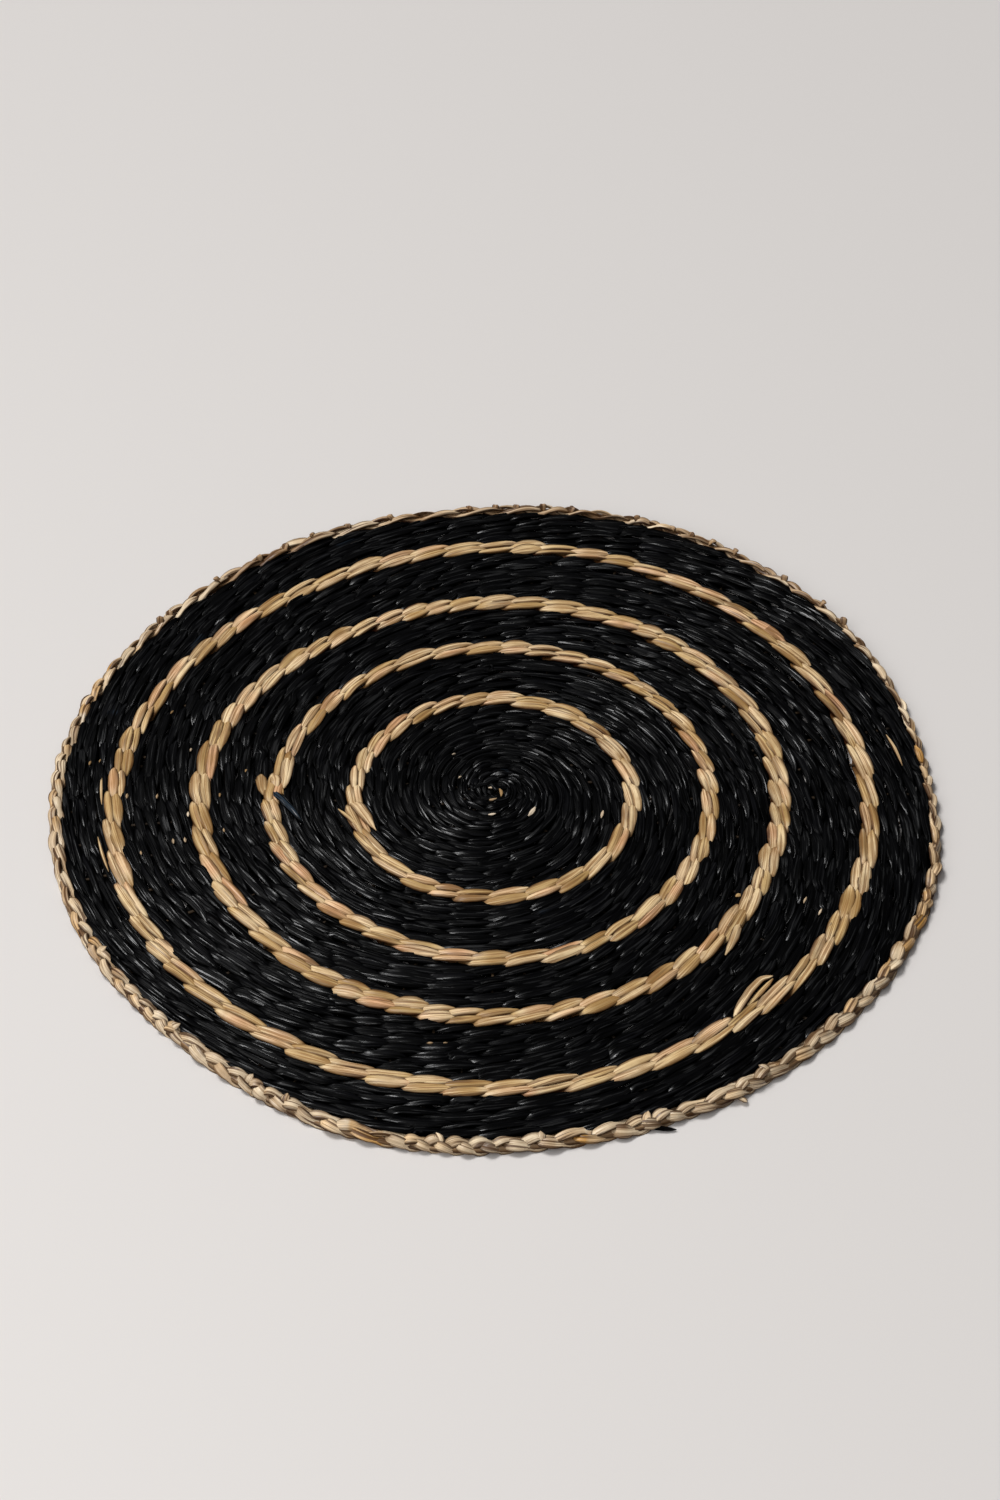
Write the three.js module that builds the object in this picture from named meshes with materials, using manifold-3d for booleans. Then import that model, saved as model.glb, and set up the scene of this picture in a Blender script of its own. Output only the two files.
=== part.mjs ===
// A round, flat placemat of twined seagrass: straight natural spokes that cross at the hub, black weft
// and natural weft rings twined round them, and a natural three-strand plait along the edge.
// Millimetres, +Z up, origin at the middle of the underside, which lies flat.

import * as THREE from 'three';
import { mergeVertices } from 'three/addons/utils/BufferGeometryUtils.js';
import Module from 'manifold-3d';

const wasm = await Module();
wasm.setup();

// Driving sizes
const matRadius = 190;
const rimWidth = 6;
const rimHeight = 5.6;
const weaveHeight = 4.7;
const gap = 0.3;

// The weaving drifted to one side, so the hub and the rings lie off the middle of the rim.
const weaveCentre = new THREE.Vector2(-2.5, -2.6);
const rimCentre = new THREE.Vector2(0, 0);

// Nothing here is quite round. A line swells by so much, at so many places round, one of them towards an
// angle in degrees.
const edgeWaves = [
  { places: 3, swell: 1.1, towards: 44 },
  { places: 4, swell: 1.1, towards: -15 },
  { places: 5, swell: 0.8, towards: -26 },
  { places: 8, swell: 0.7, towards: -17 },
];

// A natural ring is two twined rows, and each float of a row passes over one spoke.
const rings = [
  {
    name: 'natural_ring_1',
    radius: 59.1,
    width: 8.0,
    floats: 27,
    waves: [
      { places: 1, swell: 0.4, towards: -5 },
      { places: 3, swell: 0.3, towards: -40 },
    ],
  },
  {
    name: 'natural_ring_2',
    radius: 92.4,
    width: 7.8,
    floats: 42,
    waves: [
      { places: 1, swell: 0.6, towards: -37 },
      { places: 3, swell: 0.6, towards: -59 },
      { places: 4, swell: 0.4, towards: 12 },
    ],
  },
  {
    name: 'natural_ring_3',
    radius: 122.9,
    width: 9.0,
    floats: 55,
    waves: [
      { places: 2, swell: 0.3, towards: 19 },
      { places: 3, swell: 1.2, towards: 50 },
      { places: 4, swell: 0.4, towards: -14 },
      { places: 5, swell: 0.3, towards: 19 },
    ],
  },
  {
    name: 'natural_ring_4',
    radius: 159.7,
    width: 8.4,
    floats: 62,
    waves: [
      { places: 1, swell: 0.5, towards: 64 },
      { places: 2, swell: 0.3, towards: 36 },
      { places: 3, swell: 1.0, towards: -51 },
      { places: 4, swell: 0.8, towards: -8 },
    ],
  },
];

// The black weft between the rings. Its paired rows stand as broad concentric ribs.
const bands = [
  { name: 'black_centre', ribs: 6, sides: 56 },
  { name: 'black_band_1', ribs: 3, sides: 56 },
  { name: 'black_band_2', ribs: 3, sides: 72 },
  { name: 'black_band_3', ribs: 3, sides: 72 },
  { name: 'black_band_4', ribs: 2, sides: 96 },
];

// Relief of the weaving: heights above the table, and how far a float's ends dip and lean
const ribTop = 4.4;
const ribTrough = 3.8;
const bandShoulder = 3.6;
const ringShoulder = 3.5;
const ringValley = 3.9;
const ringRowCentres = [0.26, 0.74];
const floatDip = 1.0;
const floatLean = 0.2;

// Rim plait: a row of floats on either side of a middle seam, the outer row half a float behind
const rimFloats = 96;
const rimShoulder = 3.2;
const rimSeam = 4.3;
const rimRowCentres = [0.25, 0.72];
const rimDip = 1.2;
const rimBulge = 0.1;
const rimFootInset = 0.12;

// Spokes: whole sticks that cross at the hub
const stickCount = 6;
const spokeWidth = 2.4;
const spokeThickness = 1.2;
const spokeBottom = 1.4;
const stickLength = 2 * (matRadius + rimWidth);

const blackSeagrass = { color: '#17171a', roughness: 0.45, metalness: 0 };
const naturalSeagrass = { color: '#d3b283', roughness: 0.65, metalness: 0 };
const rimSeagrass = { color: '#c9ab76', roughness: 0.65, metalness: 0 };
const spokeStalk = { color: '#b08a57', roughness: 0.75, metalness: 0 };

const rimInnerRadius = matRadius - rimWidth;
const weaveRadius = rimInnerRadius - gap;
const stepsPerFloat = 2;

// A line round a centre, as a function that gives the point on it at an angle in radians
function wavyCircle(centre, radius, waves) {
  return (angle) => {
    let reach = radius;
    for (const { places, swell, towards } of waves) {
      reach += swell * Math.cos(places * (angle - THREE.MathUtils.degToRad(towards)));
    }
    return new THREE.Vector2(Math.cos(angle), Math.sin(angle)).multiplyScalar(reach).add(centre);
  };
}

const rimLine = (radius) => wavyCircle(rimCentre, radius, edgeWaves);
const ringLine = (ring, radius) => wavyCircle(weaveCentre, radius, ring.waves);
const middlePoint = (centre) => wavyCircle(centre, 0, []);

// A faceted circle cuts inside its true line between corners, so a hole's wall is drawn a little larger.
function holeRadius(radius, sides) {
  return radius / Math.cos(Math.PI / sides);
}

// Drops the faces that closed up to a line where a profile meets the axis
function withoutClosedFaces(geometry) {
  const corners = geometry.index.array;
  const kept = [];
  for (let i = 0; i < corners.length; i += 3) {
    const [a, b, c] = [corners[i], corners[i + 1], corners[i + 2]];
    if (a !== b && b !== c && c !== a) {
      kept.push(a, b, c);
    }
  }
  geometry.setIndex(kept);
  return geometry;
}

// A flat ring between two edge lines. Each profile point says how far across it lies, from 0 at the inner
// edge to 1 at the outer one, and its height z. It may also dip at every second step, starting at step
// 0 or 1, bulge outwards at the steps where it doesn't, and lean forward by a share of a step.
function wovenRing(profile, sides, innerEdge, outerEdge) {
  const isRing = profile[0].onAxis !== true;
  const axisToEdge = isRing ? 1 : 0;
  const outline = profile.map((point) => new THREE.Vector2(axisToEdge + point.across, point.z));
  if (isRing) {
    outline.push(outline[0].clone());
  }
  const geometry = new THREE.LatheGeometry(outline, sides);
  const position = geometry.attributes.position;
  for (let i = 0; i < position.count; i += 1) {
    const step = Math.floor(i / outline.length) % sides;
    const point = profile[(i % outline.length) % profile.length];
    const { across, z, dip = 0, dipsAt = 0, bulge = 0, lean = 0 } = point;
    const dips = step % stepsPerFloat === dipsAt;
    const angle = ((step + lean * stepsPerFloat) / sides) * Math.PI * 2;
    const reach = across + (dips ? 0 : bulge);
    const spot = innerEdge(angle).lerp(outerEdge(angle), reach);
    position.setXYZ(i, spot.x, spot.y, dips ? z - dip : z);
  }
  geometry.deleteAttribute('normal');
  geometry.deleteAttribute('uv');
  return withoutClosedFaces(mergeVertices(geometry));
}

// Two twined rows. Each float leans inwards as it runs anticlockwise, and the rows lie in step.
function naturalRing(ring) {
  const { radius, width } = ring;
  const sides = ring.floats * stepsPerFloat;
  const [innerRow, outerRow] = ringRowCentres;
  const profile = [
    { across: 0, z: 0, lean: floatLean },
    { across: 1, z: 0, lean: -floatLean },
    { across: 1, z: ringShoulder, lean: -floatLean },
    { across: outerRow, z: weaveHeight, dip: floatDip },
    { across: 0.5, z: ringValley },
    { across: innerRow, z: weaveHeight, dip: floatDip },
    { across: 0, z: ringShoulder, lean: floatLean },
  ];
  const inner = ringLine(ring, holeRadius(radius - width / 2, sides));
  return wovenRing(profile, sides, inner, ringLine(ring, radius + width / 2));
}

// A stretch of black weft with rounded ribs, from one edge line to another. The centre has no hole.
function blackBand({ ribs, sides }, innerEdge, outerEdge, isCentre) {
  const profile = [{ across: 0, z: 0, onAxis: isCentre }, { across: 1, z: 0 }, { across: 1, z: bandShoulder }];
  for (let rib = ribs - 1; rib >= 0; rib -= 1) {
    profile.push({ across: (rib + 0.5) / ribs, z: ribTop });
    if (rib > 0) {
      profile.push({ across: rib / ribs, z: ribTrough });
    }
  }
  profile.push({ across: 0, z: isCentre ? ribTrough : bandShoulder });
  return wovenRing(profile, sides, innerEdge, outerEdge);
}

function rimPlait() {
  const sides = rimFloats * stepsPerFloat;
  const [innerRow, outerRow] = rimRowCentres;
  const profile = [
    { across: 0, z: 0 },
    { across: 1 - rimFootInset, z: 0 },
    { across: 1 - rimBulge, z: rimShoulder, bulge: rimBulge, dipsAt: 1 },
    { across: outerRow, z: rimHeight, dip: rimDip, dipsAt: 1, lean: floatLean },
    { across: 0.5, z: rimSeam, lean: -floatLean },
    { across: innerRow, z: rimHeight, dip: rimDip, lean: floatLean },
    { across: 0, z: rimShoulder },
  ];
  return wovenRing(profile, sides, rimLine(holeRadius(rimInnerRadius, sides)), rimLine(matRadius));
}

function solidFrom(geometry) {
  const vertProperties = new Float32Array(geometry.attributes.position.array);
  const triVerts = new Uint32Array(geometry.index.array);
  return new wasm.Manifold(new wasm.Mesh({ numProp: 3, vertProperties, triVerts }));
}

function geometryFrom(solid) {
  const mesh = solid.getMesh();
  const geometry = new THREE.BufferGeometry();
  geometry.setAttribute('position', new THREE.BufferAttribute(mesh.vertProperties, 3));
  geometry.setIndex(new THREE.BufferAttribute(mesh.triVerts, 1));
  return geometry;
}

// All the sticks as one star through the hub, each grown by a clearance on every side
function stickStar(clearance) {
  let star = null;
  for (let i = 0; i < stickCount; i += 1) {
    const thickness = spokeThickness + 2 * clearance;
    const stick = new THREE.BoxGeometry(stickLength, spokeWidth + 2 * clearance, thickness);
    stick.rotateZ((i / stickCount) * Math.PI);
    stick.translate(weaveCentre.x, weaveCentre.y, spokeBottom + spokeThickness / 2);
    stick.deleteAttribute('normal');
    stick.deleteAttribute('uv');
    const solid = solidFrom(mergeVertices(stick));
    star = star ? star.add(solid) : solid;
  }
  return star;
}

// The sticks end where the black weft ends, just inside the rim.
function spokes() {
  const { sides } = bands[bands.length - 1];
  const profile = [
    { across: 0, z: 0, onAxis: true },
    { across: 1, z: 0 },
    { across: 1, z: rimHeight },
    { across: 0, z: rimHeight },
  ];
  const trim = solidFrom(wovenRing(profile, sides, middlePoint(rimCentre), rimLine(weaveRadius)));
  return stickStar(0).intersect(trim);
}

const mat = new THREE.Group();

function addPiece(name, geometry, finish) {
  const piece = new THREE.Mesh(geometry, new THREE.MeshStandardMaterial(finish));
  piece.name = name;
  mat.add(piece);
}

const tunnels = stickStar(gap);
const threaded = (geometry) => geometryFrom(solidFrom(geometry).subtract(tunnels));

addPiece('spokes', geometryFrom(spokes()), spokeStalk);

bands.forEach((band, i) => {
  const before = rings[i - 1];
  const after = rings[i];
  const innerEdge = before
    ? ringLine(before, holeRadius(before.radius + before.width / 2 + gap, band.sides))
    : middlePoint(weaveCentre);
  const outerEdge = after ? ringLine(after, after.radius - after.width / 2 - gap) : rimLine(weaveRadius);
  const piece = blackBand(band, innerEdge, outerEdge, !before);
  addPiece(band.name, threaded(piece), blackSeagrass);
});

rings.forEach((ring) => addPiece(ring.name, threaded(naturalRing(ring)), naturalSeagrass));

addPiece('rim_plait', rimPlait(), rimSeagrass);

export default mat;
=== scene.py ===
# Round twined seagrass placemat: black weft, four natural rings and a plaited natural rim.
# Sizes in the dictionaries are in millimetres, and become metres where a mesh is made. Those of the table
# and the lights are in metres.
import math
import bmesh
import bpy
import numpy as np
from mathutils import Matrix, Quaternion, Vector


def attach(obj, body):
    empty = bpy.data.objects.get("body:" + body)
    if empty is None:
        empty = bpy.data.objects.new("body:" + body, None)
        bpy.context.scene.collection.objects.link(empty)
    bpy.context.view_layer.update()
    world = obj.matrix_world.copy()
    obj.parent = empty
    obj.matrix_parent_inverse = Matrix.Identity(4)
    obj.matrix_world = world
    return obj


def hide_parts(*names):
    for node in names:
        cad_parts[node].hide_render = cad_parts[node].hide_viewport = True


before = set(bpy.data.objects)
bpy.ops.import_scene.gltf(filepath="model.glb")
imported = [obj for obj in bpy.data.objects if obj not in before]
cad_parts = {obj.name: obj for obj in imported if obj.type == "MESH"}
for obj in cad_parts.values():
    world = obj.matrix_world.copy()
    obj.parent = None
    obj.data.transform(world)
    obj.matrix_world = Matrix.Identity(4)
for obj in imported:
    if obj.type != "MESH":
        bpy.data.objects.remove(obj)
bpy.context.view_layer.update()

mm = 0.001
fullTurn = 2 * math.pi

# The weave's middle, as in the part's source. The hub itself drifted a little to the right and back.
mat = {
    "weaveCentre": (-2.5, -2.6),
    "rimCentre": (0.0, 0.0),
    "hubDrift": (1.75, 3.0),
    "hubDriftEnds": 45.0,  # radius past which nothing drifts
    "seed": 11,
}
ringNames = ["natural_ring_1", "natural_ring_2", "natural_ring_3", "natural_ring_4"]

# How the edges are read off the flat nodes: at how many angles, how many degrees to each side of one, and
# up to what height a corner counts as the foot
edgeReading = {"angles": 90, "toEachSide": 5.5, "footHeight": 0.05}
edgeAngles = np.arange(edgeReading["angles"]) / edgeReading["angles"] * fullTurn


# The inner and outer edge of a flat node's foot, as radii round a centre at each of some even angles
def nodeEdges(name, centre):
    corners = np.array([tuple(corner.co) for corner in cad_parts[name].data.vertices]) / mm
    foot = corners[corners[:, 2] < edgeReading["footHeight"]][:, :2] - centre
    angle, radius = np.arctan2(foot[:, 1], foot[:, 0]), np.hypot(foot[:, 0], foot[:, 1])
    inner, outer = [], []
    for direction in edgeAngles:
        apart = np.abs(np.mod(angle - direction + math.pi, fullTurn) - math.pi)
        near = radius[apart < math.radians(edgeReading["toEachSide"])]
        halfway = (near.min() + near.max()) / 2
        inner.append(near[near <= halfway].mean())
        outer.append(near[near >= halfway].mean())
    return np.array(inner), np.array(outer)


# A line round a centre, as a function of the angle
def edgeLine(radii):
    return lambda angle: np.interp(angle, edgeAngles, radii, period=fullTurn)


ringEdges = [nodeEdges(name, mat["weaveCentre"]) for name in ringNames]
weaveEdge = nodeEdges("black_band_4", mat["weaveCentre"])[1]
rimEdges = nodeEdges("rim_plait", mat["rimCentre"])

# Where its strands were joined, the second ring steps outwards: degrees, how far, and the degrees over
# which the step fades out again
ringStep = {"ring": 1, "degrees": 178.0, "far": 1.8, "fades": 22.0}
pastStep = np.mod(np.degrees(edgeAngles) - ringStep["degrees"], 360)
stepOut = ringStep["far"] * np.exp(-pastStep / ringStep["fades"])
ringEdges[ringStep["ring"]] = tuple(edge + stepOut for edge in ringEdges[ringStep["ring"]])

# How the rim runs, at some places in degrees: how broad its plait is, as a share of its full breadth, and
# how far out of its line
rimRun = {
    "degrees": [0, 20, 45, 70, 100, 135, 180, 225, 270, 315, 330, 345],
    "breadth": [0.66, 0.64, 0.64, 0.7, 0.8, 0.85, 0.84, 0.95, 1.0, 1.02, 1.0, 0.8],
    "aside": [-1.8, -1.6, 0.0, 0.0, 0.0, 0.0, 0.2, 0.0, 0.0, 0.0, -0.2, -0.9],
    "halfBreadth": 4.1,
}


def rimRunAt(key, angle):
    return np.interp(np.degrees(angle) % 360, rimRun["degrees"], rimRun[key], period=360)


# The black weave reaches out to the rim where that is narrower.
freed = (1 - rimRunAt("breadth", edgeAngles)) * rimRun["halfBreadth"] + rimRunAt("aside", edgeAngles)
weaveEdge = weaveEdge + np.maximum(freed, 0)


# The camera's place and turn were worked out from the four rings in the photo, in pixels of its frame.
# longSide is the sensor's, in millimetres.
photo = {"height": 1500, "longSide": 36.0, "focalPixels": 2870.0}
cameraPlace = {
    "away": 1225.0,
    "elevation": 45.65,
    "over": (-1.9, -2.4),
    "leftPixels": -6.6,
    "downPixels": 50.3,
    "roll": -0.53,
    "clipFrom": 50.0,
}


def makeCamera():
    camera = bpy.data.cameras.new("camera")
    camera.sensor_width = photo["longSide"]
    camera.lens = photo["focalPixels"] / photo["height"] * photo["longSide"]
    camera.clip_start = cameraPlace["clipFrom"] * mm
    lift = math.radians(cameraPlace["elevation"])
    right, back = Vector((1, 0, 0)), Vector((0, -math.cos(lift), math.sin(lift)))
    up = back.cross(right)
    pan = Quaternion(up, math.atan2(cameraPlace["leftPixels"], photo["focalPixels"]))
    tilt = Quaternion(pan @ right, math.atan2(cameraPlace["downPixels"], photo["focalPixels"]))
    level = Matrix((right, up, back)).transposed()
    turned = (tilt @ pan).to_matrix() @ level @ Matrix.Rotation(math.radians(cameraPlace["roll"]), 3, "Z")
    holder = bpy.data.objects.new("camera", camera)
    bpy.context.scene.collection.objects.link(holder)
    holder.location = (Vector((*cameraPlace["over"], 0)) + back * cameraPlace["away"]) * mm
    holder.rotation_mode = "QUATERNION"
    holder.rotation_quaternion = turned.to_quaternion()
    bpy.context.scene.camera = holder


makeCamera()
print("camera is set")


# Colours are written as sRGB hex and shaders want linear light.
def linearColour(hexValue):
    channels = [int(hexValue[i:i + 2], 16) / 255 for i in (1, 3, 5)]
    linear = [c / 12.92 if c <= 0.04045 else ((c + 0.055) / 1.055) ** 2.4 for c in channels]
    return (*linear, 1.0)


# Adds a node, sets its settings, and fills or links its sockets
def addNode(tree, kind, sockets=None, **settings):
    node = tree.nodes.new(kind)
    for name, value in settings.items():
        setattr(node, name, value)
    for name, value in (sockets or {}).items():
        if isinstance(value, bpy.types.NodeSocket):
            tree.links.new(value, node.inputs[name])
        else:
            node.inputs[name].default_value = value
    return node


def fillRamp(node, stops):
    ramp = node.color_ramp
    while len(ramp.elements) < len(stops):
        ramp.elements.new(0.5)
    for element, (place, hexValue) in zip(ramp.elements, stops):
        element.position = place
        element.color = linearColour(hexValue)


def newMaterial(name):
    material = bpy.data.materials.new(name)
    material.use_nodes = True
    material.node_tree.nodes.clear()
    return material, material.node_tree


# What all the grass has in common: how rough and how detailed its noise is, how its patches and streaks
# fade, and its wax
grass = {
    "noiseRoughness": 0.55,
    "fibreDetail": 2.0,
    "creaseDetail": 1.0,
    "patchDetail": 2.0,
    "waxDetail": 1.0,
    "patchBand": (0.4, 0.7),
    "streakEdge": 0.08,
    "waxIor": 1.6,
}


# Noise along a blade, as lines so long and so far apart, turned into a mask from 0 to 1
def bladeLines(tree, strandUv, length, apart, low, high, detail):
    stretched = addNode(
        tree, "ShaderNodeMapping",
        {"Vector": strandUv, "Scale": (1 / (length * mm), 1 / (apart * mm), 1)},
    ).outputs["Vector"]
    noise = addNode(
        tree, "ShaderNodeTexNoise",
        {"Vector": stretched, "Scale": 1.0, "Detail": detail, "Roughness": grass["noiseRoughness"]},
        noise_dimensions="2D",
    ).outputs["Fac"]
    mask = addNode(
        tree, "ShaderNodeMapRange",
        {"Value": noise, "From Min": low, "From Max": high, "To Min": 1.0, "To Max": 0.0},
    ).outputs["Result"]
    return noise, mask


def mixColour(tree, mask, share, under, hexValue):
    amount = addNode(tree, "ShaderNodeMath", {0: mask, 1: share}, operation="MULTIPLY").outputs["Value"]
    return addNode(
        tree, "ShaderNodeMix", {"Factor": amount, "A": under, "B": linearColour(hexValue)}, data_type="RGBA"
    ).outputs["Result"]


# Seagrass blades, undyed or dyed. The strand UV runs along a blade in metres and across it in metres.
def seagrassMaterial(name, look):
    material, tree = newMaterial(name)
    strandUv = addNode(tree, "ShaderNodeUVMap", uv_map="strand").outputs["UV"]
    tint = addNode(tree, "ShaderNodeAttribute", attribute_name="tint").outputs["Fac"]
    ground = addNode(tree, "ShaderNodeValToRGB", {"Fac": tint})
    fillRamp(ground, look["tints"])
    # fine fibres, then fewer creases, darkened along their lines as painted shade in the folds
    fineDetail, creaseDetail = grass["fibreDetail"], grass["creaseDetail"]
    fibres, fibreMask = bladeLines(tree, strandUv, *look["fibre"], *look["fibreBand"], fineDetail)
    creases, creaseShadowMask = bladeLines(tree, strandUv, *look["crease"], *look["creaseShadowBand"], creaseDetail)
    fibred = mixColour(tree, fibreMask, look["fibreShade"], ground.outputs["Color"], look["fibreColour"])
    creaseShadowed = mixColour(tree, creaseShadowMask, look["creaseShade"], fibred, look["creaseShadowColour"])
    # a blade's margins, and its ends where they dive under, are darkened: painted shade at the seams and
    # crossings, with some real browning at the tips. There the blade is dull too.
    edgeShade = addNode(tree, "ShaderNodeAttribute", attribute_name="edgeShade").outputs["Fac"]
    edgeShadeMask = addNode(
        tree, "ShaderNodeMapRange", {"Value": edgeShade, "From Min": look["edgeShadeFrom"], "From Max": 1.0}
    ).outputs["Result"]
    edgeShaded = mixColour(tree, edgeShadeMask, look["edgeShadeShare"], creaseShadowed, look["edgeShadeColour"])
    # slow change of colour over the mat
    place = addNode(tree, "ShaderNodeTexCoord").outputs["Object"]
    patches = addNode(
        tree, "ShaderNodeTexNoise",
        {"Vector": place, "Scale": 1 / (look["patch"] * mm), "Detail": grass["patchDetail"]},
    ).outputs["Fac"]
    patchLow, patchHigh = grass["patchBand"]
    patchMask = addNode(
        tree, "ShaderNodeMapRange",
        {"Value": patches, "From Min": patchLow, "From Max": patchHigh, "To Min": 0.0, "To Max": 1.0},
    ).outputs["Result"]
    coloured = mixColour(tree, patchMask, look["patchShade"], edgeShaded, look["patchColour"])
    # thin waxy streaks shine, but not where the edges and ends are darkened
    waxTo = look["waxFrom"] + grass["streakEdge"]
    dullMask = bladeLines(tree, strandUv, *look["wax"], look["waxFrom"], waxTo, grass["waxDetail"])[1]
    least, most = look["waxShine"]
    streaks = addNode(
        tree, "ShaderNodeMapRange", {"Value": dullMask, "To Min": most, "To Max": least}
    ).outputs["Result"]
    inside = addNode(tree, "ShaderNodeMath", {0: 1.0, 1: edgeShadeMask}, operation="SUBTRACT").outputs["Value"]
    wax = addNode(tree, "ShaderNodeMath", {0: streaks, 1: inside}, operation="MULTIPLY").outputs["Value"]
    fineRelief = addNode(
        tree, "ShaderNodeBump",
        {"Height": fibres, "Strength": look["bump"], "Distance": look["bumpHeight"] * mm},
    ).outputs["Normal"]
    relief = addNode(
        tree, "ShaderNodeBump",
        {
            "Height": creases,
            "Strength": look["bump"],
            "Distance": look["creaseHeight"] * mm,
            "Normal": fineRelief,
        },
    ).outputs["Normal"]
    shader = addNode(
        tree, "ShaderNodeBsdfPrincipled",
        {
            "Base Color": coloured,
            "Roughness": look["rough"],
            "Normal": relief,
            "Specular IOR Level": look["specular"],
            "Coat Weight": wax,
            "Coat Roughness": look["waxRough"],
            "Coat IOR": grass["waxIor"],
            "Coat Normal": relief,
        },
    )
    addNode(tree, "ShaderNodeOutputMaterial", {"Surface": shader.outputs["BSDF"]})
    return material


# Seagrass dried and dyed through with black: satin, nearly black, with crisp glints along its folds
blackSeagrass = seagrassMaterial("black_dyed_seagrass", {
    # its last tint, slate blue, is a painted grey-blue sheen, taken only by blades tinted near 1, such as
    # the loose blade in the first black band
    "tints": [(0.0, "#040405"), (0.5, "#080809"), (0.92, "#111114"), (1.0, "#2e3a46")],
    "fibre": (60.0, 0.9),
    "fibreBand": (0.45, 0.6),
    "fibreShade": 0.9,
    "fibreColour": "#010102",
    "crease": (30.0, 1.0),
    "creaseShadowBand": (0.42, 0.5),
    "creaseShade": 0.95,
    "creaseShadowColour": "#000000",
    "creaseHeight": 0.5,
    "edgeShadeFrom": 0.72,
    "edgeShadeShare": 0.95,
    "edgeShadeColour": "#000000",
    "patch": 14.0,
    "patchShade": 0.4,
    "patchColour": "#020203",
    "rough": 0.45,
    "specular": 0.03,
    "wax": (16.0, 1.0),
    "waxFrom": 0.58,
    "waxShine": (0.03, 0.68),
    "waxRough": 0.28,
    "bump": 0.8,
    "bumpHeight": 0.35,
})

# Seagrass only dried: pale straw, some blades pinkish, some still greenish, fine fibres along them
naturalSeagrass = seagrassMaterial("dried_natural_seagrass", {
    "tints": [(0.0, "#b5945e"), (0.25, "#e2c086"), (0.6, "#ffe3b4"), (0.85, "#fbd2a4"), (1.0, "#efbc90")],
    "fibre": (25.0, 0.5),
    "fibreBand": (0.38, 0.56),
    "fibreShade": 0.74,
    "fibreColour": "#8e5c2a",
    "crease": (30.0, 1.5),
    "creaseShadowBand": (0.33, 0.41),
    "creaseShade": 0.6,
    "creaseShadowColour": "#5c3312",
    "creaseHeight": 0.45,
    "edgeShadeFrom": 0.42,
    "edgeShadeShare": 1.0,
    "edgeShadeColour": "#3a1b06",
    "patch": 9.0,
    "patchShade": 0.5,
    "patchColour": "#a67d4a",
    "rough": 0.55,
    "specular": 0.12,
    "wax": (40.0, 0.7),
    "waxFrom": 0.5,
    "waxShine": (0.0, 0.5),
    "waxRough": 0.4,
    "bump": 0.6,
    "bumpHeight": 0.15,
})

# The rim's blades are the same grass, from brown, through straw, to yellow
rimSeagrass = seagrassMaterial("plaited_natural_seagrass", {
    "tints": [(0.0, "#97785a"), (0.3, "#d4b38b"), (0.6, "#ffe9c6"), (0.8, "#f9d3a0"), (1.0, "#e6ac58")],
    "fibre": (25.0, 0.5),
    "fibreBand": (0.38, 0.56),
    "fibreShade": 0.62,
    "fibreColour": "#805629",
    "crease": (25.0, 1.4),
    "creaseShadowBand": (0.36, 0.44),
    "creaseShade": 0.85,
    "creaseShadowColour": "#4e2c12",
    "creaseHeight": 0.5,
    "edgeShadeFrom": 0.56,
    "edgeShadeShare": 1.0,
    "edgeShadeColour": "#331906",
    "patch": 7.0,
    "patchShade": 0.35,
    "patchColour": "#86653f",
    "rough": 0.55,
    "specular": 0.12,
    "wax": (40.0, 0.7),
    "waxFrom": 0.5,
    "waxShine": (0.0, 0.8),
    "waxRough": 0.4,
    "bump": 0.6,
    "bumpHeight": 0.2,
})

# Split stalks, dry and matt, that show only as flecks between the black rows. Their darkest tint, near
# black, is painted shade: the stalks under the floats take it, and the cut ends take the paler ones.
spokeStalk = seagrassMaterial("split_stalk", {
    "tints": [(0.0, "#1a140e"), (0.2, "#6f5433"), (0.5, "#b08c5c"), (1.0, "#f6e2c6")],
    "fibre": (20.0, 0.3),
    "fibreBand": (0.35, 0.65),
    "fibreShade": 0.25,
    "fibreColour": "#5a4228",
    "crease": (20.0, 1.0),
    "creaseShadowBand": (0.3, 0.4),
    "creaseShade": 0.5,
    "creaseShadowColour": "#2e2012",
    "creaseHeight": 0.2,
    "edgeShadeFrom": 0.7,
    "edgeShadeShare": 0.4,
    "edgeShadeColour": "#4a331c",
    "patch": 9.0,
    "patchShade": 0.15,
    "patchColour": "#80633c",
    "rough": 0.75,
    "specular": 0.3,
    "wax": (20.0, 0.7),
    "waxFrom": 0.5,
    "waxShine": (0.0, 0.1),
    "waxRough": 0.5,
    "bump": 0.5,
    "bumpHeight": 0.15,
})
print("materials are made")


# A blade's section: how full its sides and faces are, where its folds begin, and how softly it lies. Its
# pattern starts anywhere within the last length, so that no two blades are alike.
blade = {
    "sideFullness": 0.85,
    "faceFullness": 0.8,
    "foldsFrom": 0.2,
    "softness": 0.3,
    "startsWithin": 4000.0,
}


# A blade's cross-section: a flattened round, wide along x and thin along y, both from -1 to 1
def bladeSection(sides):
    turn = np.arange(sides) / sides * fullTurn
    across = np.sign(np.cos(turn)) * np.abs(np.cos(turn)) ** blade["sideFullness"]
    height = np.sign(np.sin(turn)) * np.abs(np.sin(turn)) ** blade["faceFullness"]
    return across, height


# What lies below the table top is pressed up to it, softly.
def restOnTable(z):
    soft = blade["softness"]
    return np.where(z < soft, soft * np.exp(np.minimum(z - soft, 0) / soft), z)
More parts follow.
